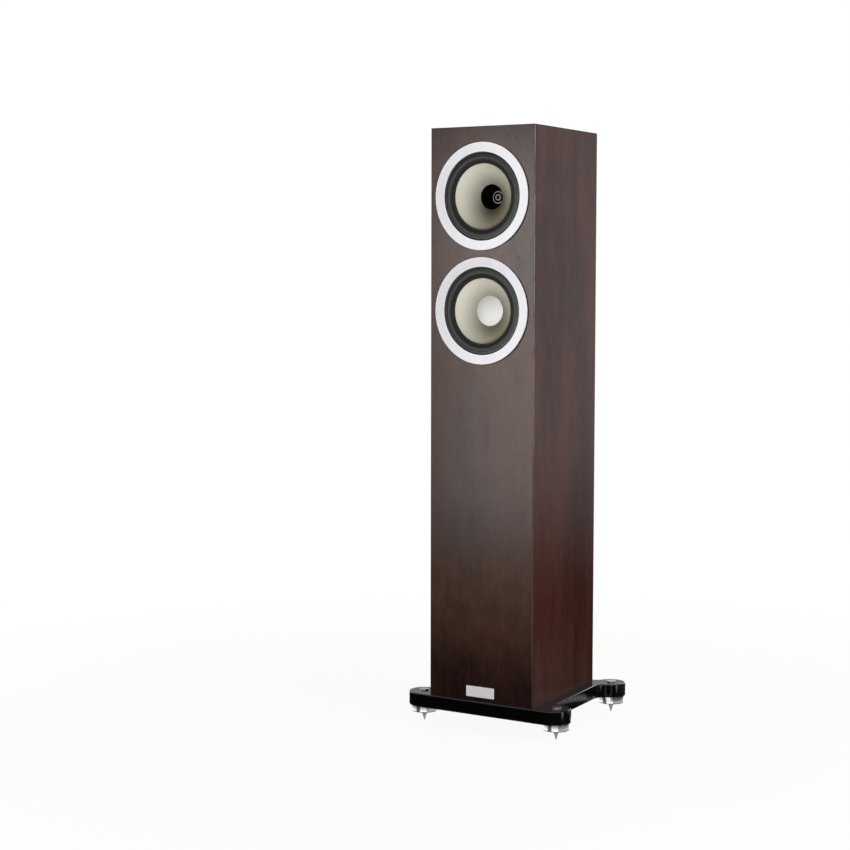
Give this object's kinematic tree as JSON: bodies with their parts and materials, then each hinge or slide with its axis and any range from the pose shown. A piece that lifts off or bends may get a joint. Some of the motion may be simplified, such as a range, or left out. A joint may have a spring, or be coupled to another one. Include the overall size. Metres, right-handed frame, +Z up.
{
  "type": "floorstanding speaker",
  "caption": "Floorstanding loudspeaker with a coaxial and a bass drive unit in a tapering wood-veneered cabinet on a gloss black outrigger plinth with spikes.",
  "frame": {"origin": "on the floor under the middle of the footprint", "axes": "+Z up, -Y the way the baffle faces, +X to the right seen from the front"},
  "size_m": [0.293, 0.2764, 0.9545],
  "materials": {
    "veneer": "dark stained open-grain veneer, satin lacquer",
    "raw_board": "bare fibreboard",
    "felt": "grey damping foam",
    "badge_metal": "fine brushed, bare",
    "gloss_black": "high gloss black lacquer",
    "insert_steel": "zinc plated",
    "cap_chrome": "polished",
    "spike_chrome": "polished",
    "ring_metal": "polished",
    "trim_metal": "bright satin",
    "cast_black": "black powder coat on a casting",
    "surround_rubber": "matt nitrile rubber",
    "cone_pulp": "treated pulp, pale grey-green",
    "cap_pulp": "pale treated pulp",
    "coil_former": "dark anodised former with a lacquered winding",
    "spider_cloth": "resin-dipped cloth",
    "motor_steel": "blackened steel",
    "ferrite": "bare ferrite",
    "horn_black": "matt black moulding",
    "plug_grey": "satin grey moulding",
    "dome_metal": "thin metal dome",
    "capsule_black": "black",
    "gasket_foam": "closed-cell foam",
    "screw_black": "black",
    "port_black": "matt black moulding",
    "terminal_black": "fine-textured black moulding",
    "contact_gold": "gold plated",
    "cap_red": "translucent red grip",
    "cap_black": "black grip",
    "board_green": "solder-resist green",
    "coil_copper": "lacquered copper wire",
    "can_film": "film capacitor sleeve",
    "brick_ceramic": "cement-filled ceramic",
    "wire_sleeve": "sleeved lead"
  },
  "bodies": {
    "cabinet": {"back_panel": "veneer", "badge_plate": "badge_metal", "bottom_panel": "veneer", "braces": "raw_board", "capacitors": "can_film", "crossover_board": "board_green", "damping_pads": "felt", "driver_gaskets": "gasket_foam", "front_baffle": "veneer", "inductors": "coil_copper", "insert_caps": "cap_chrome", "jumper_links": "contact_gold", "left_side": "veneer", "lower_chassis": "cast_black", "lower_magnet": "ferrite", "lower_spider": "spider_cloth", "lower_surround": "surround_rubber", "lower_top_plate": "motor_steel", "lower_trim_ring": "trim_metal", "lower_yoke": "motor_steel", "panel_screws": "screw_black", "phase_plug": "plug_grey", "plinth": "gloss_black", "plinth_bolts": "insert_steel", "port_tube": "port_black", "post_stems": "contact_gold", "resistors": "brick_ceramic", "right_side": "veneer", "spike_inserts": "insert_steel", "terminal_panel": "terminal_black", "top_panel": "veneer", "tweeter_capsule": "capsule_black", "upper_chassis": "cast_black", "upper_magnet": "ferrite", "upper_spider": "spider_cloth", "upper_surround": "surround_rubber", "upper_top_plate": "motor_steel", "upper_trim_ring": "trim_metal", "upper_yoke": "motor_steel", "waveguide": "horn_black", "wiring_harness": "wire_sleeve"},
    "upper_cone_assembly": {"upper_cone": "cone_pulp", "upper_voice_coil": "coil_former"},
    "lower_cone_assembly": {"lower_cone": "cone_pulp", "lower_voice_coil": "coil_former", "lower_dust_cap": "cap_pulp"},
    "tweeter_diaphragm": {"tweeter_dome": "dome_metal"},
    "front_left_spike": {"front_left_spike": "spike_chrome"},
    "front_left_lock_ring": {"front_left_lock_ring": "ring_metal"},
    "front_right_spike": {"front_right_spike": "spike_chrome"},
    "front_right_lock_ring": {"front_right_lock_ring": "ring_metal"},
    "rear_left_spike": {"rear_left_spike": "spike_chrome"},
    "rear_left_lock_ring": {"rear_left_lock_ring": "ring_metal"},
    "rear_right_spike": {"rear_right_spike": "spike_chrome"},
    "rear_right_lock_ring": {"rear_right_lock_ring": "ring_metal"},
    "upper_left_post_cap": {"upper_left_post_cap": "cap_black"},
    "upper_right_post_cap": {"upper_right_post_cap": "cap_red"},
    "lower_left_post_cap": {"lower_left_post_cap": "cap_black"},
    "lower_right_post_cap": {"lower_right_post_cap": "cap_red"}
  },
  "joints": [
    {"name": "upper_cone_travel", "type": "slide", "parent": "cabinet", "child": "upper_cone_assembly", "axis": [0, -1, 0], "range_m": [-0.004, 0.004], "stiffness_N_per_m": 1200, "deforming": ["upper_surround", "upper_spider"]},
    {"name": "lower_cone_travel", "type": "slide", "parent": "cabinet", "child": "lower_cone_assembly", "axis": [0, -1, 0], "range_m": [-0.004, 0.004], "stiffness_N_per_m": 1200, "deforming": ["lower_surround", "lower_spider"]},
    {"name": "tweeter_dome_travel", "type": "slide", "parent": "cabinet", "child": "tweeter_diaphragm", "axis": [0, -1, 0], "range_m": [-0.0003, 0.0003], "stiffness_N_per_m": 30},
    {"name": "front_left_spike_height", "type": "slide", "parent": "cabinet", "child": "front_left_spike", "axis": [0, 0, -1], "range_m": [0, 0.012]},
    {"name": "front_right_spike_height", "type": "slide", "parent": "cabinet", "child": "front_right_spike", "axis": [0, 0, -1], "range_m": [0, 0.012]},
    {"name": "rear_left_spike_height", "type": "slide", "parent": "cabinet", "child": "rear_left_spike", "axis": [0, 0, -1], "range_m": [0, 0.012]},
    {"name": "rear_right_spike_height", "type": "slide", "parent": "cabinet", "child": "rear_right_spike", "axis": [0, 0, -1], "range_m": [0, 0.012]},
    {"name": "front_left_lock_ring_turn", "type": "hinge", "parent": "cabinet", "child": "front_left_lock_ring", "pos_m": [-0.123, -0.10825, 0.0215], "axis": [0, 0, 1], "continuous": true},
    {"name": "front_right_lock_ring_turn", "type": "hinge", "parent": "cabinet", "child": "front_right_lock_ring", "pos_m": [0.123, -0.10825, 0.0215], "axis": [0, 0, 1], "continuous": true},
    {"name": "rear_left_lock_ring_turn", "type": "hinge", "parent": "cabinet", "child": "rear_left_lock_ring", "pos_m": [-0.102, 0.11475, 0.0215], "axis": [0, 0, 1], "continuous": true},
    {"name": "rear_right_lock_ring_turn", "type": "hinge", "parent": "cabinet", "child": "rear_right_lock_ring", "pos_m": [0.102, 0.11475, 0.0215], "axis": [0, 0, 1], "continuous": true},
    {"name": "upper_left_post_cap_unscrew", "type": "slide", "parent": "cabinet", "child": "upper_left_post_cap", "axis": [0, 1, 0], "range_m": [0, 0.005]},
    {"name": "upper_right_post_cap_unscrew", "type": "slide", "parent": "cabinet", "child": "upper_right_post_cap", "axis": [0, 1, 0], "range_m": [0, 0.005]},
    {"name": "lower_left_post_cap_unscrew", "type": "slide", "parent": "cabinet", "child": "lower_left_post_cap", "axis": [0, 1, 0], "range_m": [0, 0.005]},
    {"name": "lower_right_post_cap_unscrew", "type": "slide", "parent": "cabinet", "child": "lower_right_post_cap", "axis": [0, 1, 0], "range_m": [0, 0.005]}
  ]
}
